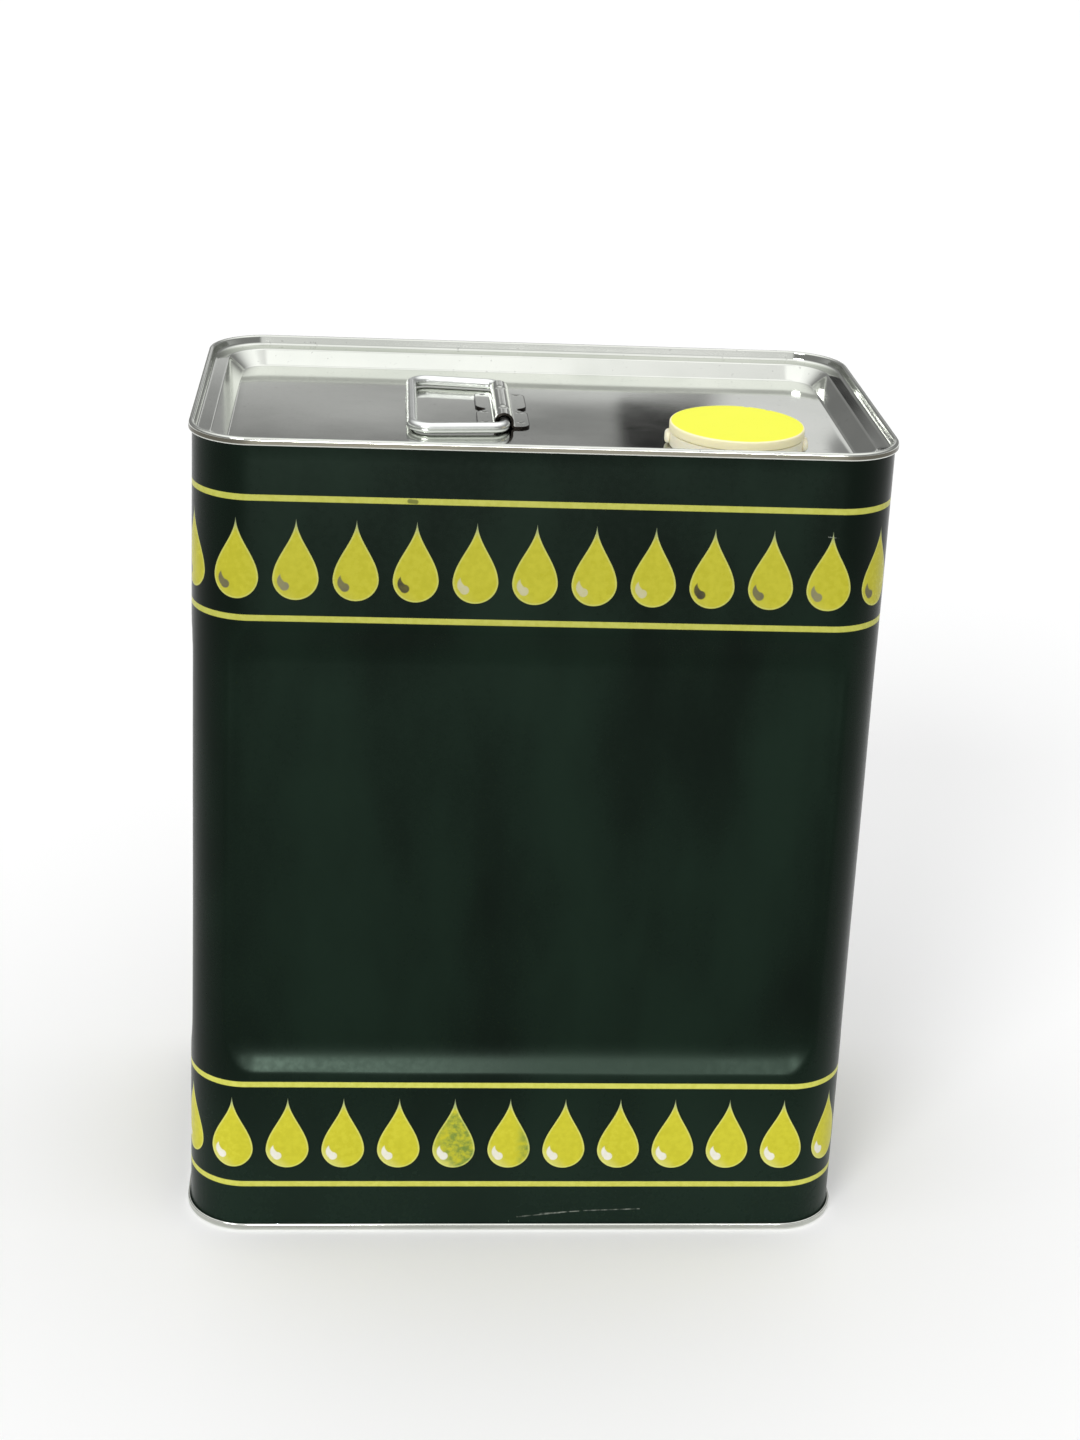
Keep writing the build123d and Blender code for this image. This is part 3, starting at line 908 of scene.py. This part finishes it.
def top_end(tinplate):
    """The top end: seam, stepped countersink, flat panel and the neck under the collar, as one sheet."""
    flat_inset = top_foot_inset + end_flat
    panel_line = panel_top - sheet / 2
    corners = seam_corners(tin_height, -1) + [
        (chuck_line - top_chuck_draft, tin_height - top_chuck_depth - sheet / 2),
        (-ledge_inset, tin_height - ledge_depth - sheet / 2),
        (-top_foot_inset, panel_line),
        (-flat_inset, panel_line),
    ]
    line = wall_rows(bent_line(corners, seam_bends + [end_bend, ledge_bend, end_bend]))
    neck_line, curl_line = neck_bore + sheet / 2, neck_curl_radius - sheet / 2
    neck_head = neck_height - sheet / 2
    neck = bent_line([
        (neck_line + neck_flat, -sheet / 2), (neck_line, -sheet / 2), (neck_line, neck_head),
        (curl_line, neck_head), (curl_line, neck_height - neck_curl_drop),
    ], neck_bends)
    around = stations(end_spacing)
    edge = round_ring(around, -flat_inset, 0.0)
    angles = np.arctan2(edge[:, 1] - spout_y, edge[:, 0] - spout_x)
    share = np.linspace(0, 1, top_panel_rows + 2)[1:-1, None, None]
    faces = []
    for section, hole in zip(two_sides(line, sheet), two_sides(neck, sheet)):
        outer, inner = rings(section, around), circles(hole[:, :1], hole[:, 1:], angles)
        panel = outer[-1] * (1 - share) + inner[0] * share
        panel[..., 2] += panel_wave(panel[..., 0], panel[..., 1]) * np.sin(math.pi * share[..., 0])
        faces.append((section, np.concatenate([outer, panel, inner])))
    return end_sheet("top_end_sheet", "top_end", tinplate, faces, 1.0)


def panel_wave(x, y):
    """Slight waves of the top panel: two crossed sines, lower than a sheet."""
    return panel_wave_height * np.sin(34 * x + 1) * np.sin(52 * y + 0.6)


def bottom_end(tinplate):
    """The bottom end: seam, one wall and a flat panel, as one sheet."""
    flat_inset = bottom_foot_inset + end_flat
    panel_line = bottom_panel_depth + sheet / 2
    corners = seam_corners(0, 1) + [
        (chuck_line - bottom_chuck_draft, bottom_chuck_depth),
        (-bottom_foot_inset, panel_line),
        (-flat_inset, panel_line),
    ]
    line = wall_rows(bent_line(corners, seam_bends + [end_bend, end_bend]))
    share = np.linspace(0, 1, bottom_panel_rows + 1)[1:, None, None]
    faces = []
    for section in two_sides(line, sheet):
        outer = rings(section, stations(end_spacing))
        centre = np.array([0, 0, 1]) * outer[-1]
        faces.append((section, np.concatenate([outer, outer[-1] * (1 - share) + centre * share])))
    return end_sheet("bottom_end_sheet", "bottom_end", tinplate, faces, bottom_shade_share)


def turned(name, corners, bends, material, columns=turned_columns, shape=None):
    """A closed section of radii and heights, with rounded corners, turned about the spout's axis.

    A section that starts and ends on the axis is closed by it and has no bends there. The shape function
    moves the radii, from the radii, heights and angles.
    """
    to_axis = corners[0][0] == 0
    if to_axis:
        profile = bent_line(corners, bends, turned_steps)
    else:
        half = [(np.array(corners[0]) + np.array(corners[-1])) / 2]
        profile = bent_line(half + corners + half, bends, turned_steps)[:-1]
    angles = full_turn(columns)
    radius = np.repeat(profile[:, :1], columns, axis=1)
    height = np.repeat(profile[:, 1:], columns, axis=1)
    if shape:
        radius = shape(radius, height, angles[None, :])
    return make_piece(name, circles(radius, height, angles), material, close_rows=not to_axis)


def thread_run(radius, foot, head):
    """Rows for the thread on a wall of the nozzle or cap, a little in from both its ends."""
    heights = np.linspace(foot + thread_foot_gap, head - thread_head_gap, thread_rows, endpoint=False)
    return [(radius, height) for height in heights]


def thread_ridge(height, angle, low, high):
    """A round ridge that winds anticlockwise upward, one lead a turn, and fades out at its ends."""
    phase = (height - low) / thread_lead - angle / (2 * math.pi)
    across = np.abs(phase - np.round(phase)) * thread_lead
    ridge = np.cos(np.clip(across / thread_half, 0, 1) * math.pi / 2) ** 2
    fade = smooth_step((height - low) / thread_fade) * smooth_step((high - height) / thread_fade)
    return thread_height * ridge * fade


def nozzle(plastic):
    """The nozzle: pouring tube with an outer thread, trough, flange, skirt, and two lugs to lift it by."""
    trough_foot, skirt_inner = trough_floor - web_wall, skirt_radius - skirt_wall
    corners = [
        (nozzle_bore, nozzle_foot), (nozzle_radius, nozzle_foot), (nozzle_radius, trough_foot),
        (trough_outer, trough_foot), (trough_outer, flange_foot), (skirt_inner, flange_foot),
        (skirt_inner, skirt_foot), (skirt_radius, skirt_foot), (skirt_radius, flange_top),
        (trough_inner, flange_top), (trough_inner, trough_floor), (nozzle_radius, trough_floor),
        *thread_run(nozzle_radius, trough_floor, nozzle_lip),
        (nozzle_radius, nozzle_lip), (nozzle_bore, nozzle_lip),
    ]
    small, wide = 0.3 * MM, 0.5 * MM
    bends = [small, small, wide, wide, wide, small, small, small, wide, small, wide, wide]
    bends += [0] * thread_rows + [wide, wide]

    def threaded(radius, height, angle):
        outside = np.abs(radius - nozzle_radius) < same_length
        return radius + np.where(outside, thread_ridge(height, angle, thread_foot, thread_head), 0)

    piece = turned("spout_nozzle_tube", corners, bends, plastic, shape=threaded)
    settle(piece, "spout", "natural_plastic", "spout_nozzle")
    for name, side in (("lug_right", 0), ("lug_left", 180)):
        settle(lug(name, lug_turn + side, plastic), "spout", "natural_plastic")


def lug(name, turn, plastic):
    """A rounded ear on the skirt: a squarish ellipsoid, flattened inside the skirt and dished outside it."""
    a = full_turn(lug_columns)[None, :]
    b = np.linspace(-math.pi / 2, math.pi / 2, lug_rows)[:, None]

    def square(value):
        return np.sign(value) * np.abs(value) ** lug_power

    out = square(np.cos(b) * np.cos(a)) * lug_reach
    across = square(np.cos(b) * np.sin(a)) * lug_width / 2
    up = square(np.sin(b)) * lug_height / 2 * np.ones_like(a)
    dish = np.exp(-(across ** 2 + up ** 2) / lug_dish_radius ** 2)
    out = np.where(out > 0, out - lug_dish_depth * dish, out * lug_inner_share)
    way = np.radians(turn)
    outward = np.array([math.cos(way), math.sin(way), 0])
    sideways = np.array([-math.sin(way), math.cos(way), 0])
    middle = np.array([spout_x, spout_y, panel_top + skirt_foot + lug_height / 2]) + outward * skirt_radius
    points = middle + out[..., None] * outward + across[..., None] * sideways
    points = points + up[..., None] * np.array([0, 0, 1])
    return make_piece(name, points, plastic, close_rows=False)


def collar(plastic):
    """The collar: a wall snapped over the neck's curl, a web and a guide inside the neck."""
    wall_inner, guide_wall = collar_radius - collar_wall, guide_outer - collar_play
    web_foot = neck_height + collar_play
    corners = [
        (guide_inner, -guide_depth), (guide_wall, -guide_depth), (guide_wall, web_foot),
        (wall_inner, web_foot), (wall_inner, bead_height),
        (wall_inner - bead_reach, bead_height - bead_reach / 2),
        (wall_inner, collar_foot), (collar_radius, collar_foot), (collar_radius, collar_top),
        (guide_inner, collar_top),
    ]
    small, wide = 0.25 * MM, 0.6 * MM
    bends = [small, small, small, small, 0, small, 0, small, wide, wide]
    piece = turned("spout_collar_ring", corners, bends, plastic)
    return settle(piece, "tin", "natural_plastic", "spout_collar")


def membrane(plastic):
    """The flexible cone between collar and nozzle. It turns inside out as the spout rises."""
    head = ((guide_inner + guide_outer - membrane_wall) / 2, -guide_depth - membrane_gap)
    foot = (nozzle_radius + membrane_gap, nozzle_foot)
    inner = np.linspace(head, foot, membrane_rows)
    profile = np.vstack([inner, inner[::-1] + np.array([membrane_wall, 0])])
    points = circles(profile[:, :1], profile[:, 1:], full_turn(membrane_columns))
    piece = make_piece("spout_membrane_cone", points, plastic)
    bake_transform(piece)
    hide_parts("spout_membrane")
    return piece


def cap(plastic):
    """The cap: a plate with a rounded edge, a short outer skirt and an inner skirt with the thread."""
    underside = cap_top - cap_plate
    skirt_inner, inner_outer = cap_radius - cap_skirt_wall, cap_thread_radius + cap_inner_wall
    corners = [
        (0, cap_top), *[(cap_radius - row, cap_top) for row in cap_edge_rows], (cap_radius, cap_top),
        (cap_radius, underside), (cap_radius, cap_foot), (skirt_inner, cap_foot), (skirt_inner, underside),
        (inner_outer, underside), (inner_outer, cap_inner_foot), (cap_thread_radius, cap_inner_foot),
        *thread_run(cap_thread_radius, cap_inner_foot, underside),
        (cap_thread_radius, underside), (0, underside),
    ]
    small = 0.25 * MM
    bends = [0, 0, cap_edge, 0] + [small] * 6 + [0] * thread_rows + [small]

    def cut(radius, height, angle):
        outside = (radius > cap_radius - cap_notch_ring) & (height > underside - same_length)
        for notch in cap_notch_angles:
            away = np.abs(angle - math.radians(notch)) * cap_radius
            slot = smooth_step((cap_notch_width / 2 + cap_notch_soft - away) / (2 * cap_notch_soft))
            radius = radius - np.where(outside, cap_notch_depth * slot, 0)
        inside = np.abs(radius - cap_thread_radius) < same_length
        ridge = thread_ridge(height + thread_lead / 2, angle, cap_inner_foot, underside + thread_lead / 2)
        return radius - np.where(inside, ridge, 0)

    piece = turned("screw_cap_shell", corners, bends, plastic, cap_columns, cut)
    return settle(piece, "screw_cap", "yellow_plastic", "cap")


def bail(wire):
    """The handle: a round wire along a bent line, its ends closed flat where they butt in the tunnel."""
    half = [(hinge_x, butt_gap / 2), (hinge_x, bail_hinge_half), (hinge_x - bail_length, bail_grip_half)]
    corners = [(x, handle_y + y) for x, y in half] + [(x, handle_y - y) for x, y in half[::-1]]
    line = bent_line(corners, [bail_hinge_bend, bail_grip_bend, bail_grip_bend, bail_hinge_bend], wire_steps)
    way = np.gradient(line, axis=0)
    way /= np.linalg.norm(way, axis=1, keepdims=True)
    side = np.stack([-way[:, 1], way[:, 0]], axis=1)
    angles = full_turn(wire_columns)
    radius = np.concatenate([[0], np.ones(len(line)), [0]])[:, None] * wire_radius
    line = np.vstack([line[:1], line, line[-1:]])
    side = np.vstack([side[:1], side, side[-1:]])
    x = line[:, :1] + side[:, :1] * np.cos(angles) * radius
    y = line[:, 1:] + side[:, 1:] * np.cos(angles) * radius
    z = panel_top + wire_height + np.sin(angles) * radius
    piece = make_piece("handle_wire", np.stack([x, y, z], axis=-1), wire, close_rows=False)
    return settle(piece, "handle", "tinned_wire", "handle_bail")


def arc(radius, along):
    """Height of a circle over a place along its diameter, 0 beyond it."""
    return np.sqrt(np.maximum(radius ** 2 - along ** 2, 0))


def flange_reach(y):
    """Reach of the bracket's flanges at places along it: rounded corners and a notch with a flared mouth."""
    from_end = bracket_half - np.abs(y)
    corner = flange_corner - arc(flange_corner, np.maximum(flange_corner - from_end, 0))
    mouth = np.clip(1 - (np.abs(y) - bracket_notch_half) / flange_corner, 0, 1)
    flare = flange_corner - arc(flange_corner, mouth * flange_corner)
    hollow = bracket_notch_reach - bracket_notch_half + arc(bracket_notch_half, y)
    return bracket_reach - np.maximum(corner, np.where(np.abs(y) < bracket_notch_half, hollow, flare))


def bracket(tinplate):
    """The bracket: a strip with a half-round tunnel between two flanges, each notched at its middle.

    Rows run along the tunnel. The flanges are squeezed to their reach, and dimples over the tunnel and pits
    of spot welds on the flanges are pressed into the upper side. Pits and the sheet's cut edges are dull and
    dark: the pits as weld marks, the edges in painted shade.
    """
    y = np.linspace(-bracket_half, bracket_half, bracket_rows)[:, None]
    foot = bracket_sheet / 2
    corners = [(bracket_reach, foot), (tunnel_line, foot), (tunnel_line, wire_height)]
    half = bent_line(corners, [bracket_bend])
    flat = half[:1] + (half[1:2] - half[:1]) * np.linspace(0, 1, bracket_flat_rows)[:, None]
    half = np.vstack([flat, half[2:]])
    turn = np.linspace(0, math.pi, arch_rows + 2)[1:-1]
    arch = np.stack([tunnel_line * np.cos(turn), wire_height + tunnel_line * np.sin(turn)], axis=1)
    line = np.vstack([half, arch, half[::-1] * np.array([-1, 1])])
    under, upper = two_sides(line, bracket_sheet)
    flat_end = flat[-1, 0]
    # Painted shade: the sheet's cut edges take the dark dull tone, as the gaps under the flanges
    edges = np.zeros((len(y), len(line)))
    edges[[0, -1]] = edges[:, [0, -1]] = 1
    dull_and_shade = edges
    sides = []
    for side in (upper, under):
        x = np.broadcast_to(side[:, 0], edges.shape)
        z = np.broadcast_to(side[:, 1], edges.shape)
        share = np.maximum(np.abs(x) - flat_end, 0) / (bracket_reach - flat_end)
        squeezed = np.sign(x) * (flat_end + share * (flange_reach(y) - flat_end))
        x = np.where(np.abs(x) > flat_end, squeezed, x)
        if side is upper:
            for place in (-dimple_place, dimple_place):
                z = z - dimple_depth * np.exp(-(np.hypot(x, y - place) / dimple_radius) ** 2)
            for place in spot_weld_places:
                away = np.hypot(np.abs(x) - spot_weld_offset, y - place)
                pit = np.exp(-(away / spot_weld_radius) ** 4)
                z = z - spot_weld_depth * pit
                dull_and_shade = np.maximum(dull_and_shade, pit)
        sides.append(np.stack(np.broadcast_arrays(hinge_x + x, handle_y + y, panel_top + z), axis=-1))
    around = np.concatenate([sides[0], sides[1][:, ::-1]], axis=1)
    middle = (sides[0] + sides[1]) / 2
    closed = np.concatenate([middle, middle[:, ::-1]], axis=1)
    points = np.concatenate([closed[:1], around, closed[-1:]])
    dull_and_shade = np.concatenate([dull_and_shade, edges], axis=1)
    dull_and_shade = np.concatenate([dull_and_shade[:1], dull_and_shade, dull_and_shade[-1:]])
    piece = make_piece("handle_saddle", points, tinplate, close_rows=False, dull_and_shade=dull_and_shade)
    return settle(piece, "tin", "bare_tinplate", "handle_bracket")


def dress_inner_nodes():
    """Finishes for the CAD pieces that stay: the cap's liner and the seams' compound."""
    foam, compound = liner_foam(), seam_compound()
    for node, material in (
        ("cap_liner", foam), ("top_seam_compound", compound), ("bottom_seam_compound", compound),
    ):
        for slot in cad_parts[node].material_slots:
            slot.material = material


def add_lamp(name, kind, place, energy):
    """A lamp that points at the middle of the tin."""
    lamp = add_object(name, bpy.data.lights.new(name, kind))
    lamp.data.energy = energy
    lamp.location = place
    aim = Vector((0, 0, tin_height / 2)) - Vector(place)
    lamp.rotation_euler = aim.to_track_quat("-Z", "Y").to_euler()
    return lamp


def sky(tree):
    """Level of the world by direction: brightest overhead, with a room's pale and dark places behind.

    Side is the tangent of a direction's angle to the right of straight behind the tin. No place is so bright
    that tinplate turns white, and straight above it is a little darker.
    """
    x, y, z = coordinates(tree, tree.nodes.new("ShaderNodeTexCoord").outputs["Generated"])
    side = x / y.size().most(0.01)
    front, behind = y.above(0).rest(), y.above(0)
    overhead = z.rise(0.88, 0.95) * (y.rise(-0.25, 0.25) * 0.80 - x.rise(0.02, 0.16) * 0.35 - 0.02) + 1
    level = z.rise(0.35, 0.95) * overhead * 1.15 + z.rise(0.03, 0.12).rest() * 0.16 + 0.27
    level = level + front * z.rise(0.4, 0.6).rest() * side.between(-0.3, 0.35, 0.08) * 0.6

    low_behind = behind * z.rise(0.34, 0.46).rest()
    shelf = z.rise(0.243, 0.275).rest() * (z.rise(0.240, 0.248) * 0.5 + 0.5)
    shelf = shelf * side.between(-0.13, 0.205, 0.015)
    door = side.between(0.150, 0.203, 0.006)
    level = level + low_behind * (shelf * 0.60).most(door * 0.55)
    post = side.between(0.106, 0.146, 0.003) * z.rise(0.252, 0.259) * (z.rise(0.296, 0.312) * -0.92 + 1)
    corner = side.rise(-0.24, -0.18).rest() * z.rise(0.21, 0.25).rest() * z.rise(0.1, 0.16)
    level = level * (low_behind * (post * 0.97).most(corner * 0.25)).rest()
    return level.least(1.45) * (z.rise(0.982, 0.992) * -0.25 + 1)


def studio():
    """A pale floor and world, soft lamps and the camera. Only the camera's own rays see a white world."""
    scene = bpy.context.scene
    scene.view_settings.view_transform = "Standard"

    mesh = bpy.data.meshes.new("floor")
    corners = [(x * floor_reach, y * floor_reach, 0) for x, y in ((-1, -1), (1, -1), (1, 1), (-1, 1))]
    mesh.from_pydata(corners, [], [(0, 1, 2, 3)])
    pale = Finish("pale_floor", Specular_IOR_Level=0.1, Roughness=0.9)
    pale.take(Base_Color=pale.mix(pale.noise(3), (0.945, 0.945, 0.945, 1), (0.96, 0.96, 0.96, 1)))
    mesh.materials.append(pale.material)
    floor = add_object("floor", mesh)

    scene.world = bpy.data.worlds.new("studio")
    scene.world.use_nodes = True
    tree = scene.world.node_tree
    level = sky(tree)
    seen = Field(tree, tree.nodes.new("ShaderNodeLightPath").outputs["Is Camera Ray"])
    set_inputs(tree, tree.nodes["Background"], Color=(1, 1, 1, 1), Strength=level + level.rest() * seen)

    add_lamp("key", "SUN", (-1.0, -1.73, 1.30), 1.1).data.angle = math.radians(22)
    for name, place, energy, size, lights_print in (
        ("window_left", (-0.18, -3.0, 0.22), 34.0, 0.20, False),
        ("window_right", (0.64, -3.0, 0.20), 16.0, 0.15, False),
        ("window_wide", (0.20, -3.2, 0.10), 10.0, 1.3, True),
    ):
        lamp = add_lamp(name, "AREA", place, energy)
        lamp.data.shape = "DISK"
        lamp.data.size = size
        lamp.visible_diffuse = lights_print

    data = bpy.data.cameras.new("camera")
    data.sensor_width = 36.0
    data.lens = camera_lens
    data.shift_x, data.shift_y = camera_shift
    camera = add_object("camera", data)
    camera.location = camera_place
    camera.rotation_mode = "QUATERNION"
    aim = (camera_aim - camera_place).to_track_quat("-Z", "Y")
    camera.rotation_quaternion = aim @ Quaternion((0, 0, 1), camera_roll)
    scene.camera = camera


end_tinplate = bare_tinplate("bare_tinplate_ends", seam_shade_tone)
small_tinplate = bare_tinplate("bare_tinplate_bracket", weld_mark_and_edge_shade_tone)
cream = natural_plastic()
wrapper(end_tinplate)
top_end(end_tinplate)
bottom_end(end_tinplate)
nozzle(cream)
collar(cream)
membrane(cream)
cap(yellow_plastic())
bail(tinned_wire())
bracket(small_tinplate)
dress_inner_nodes()
studio()
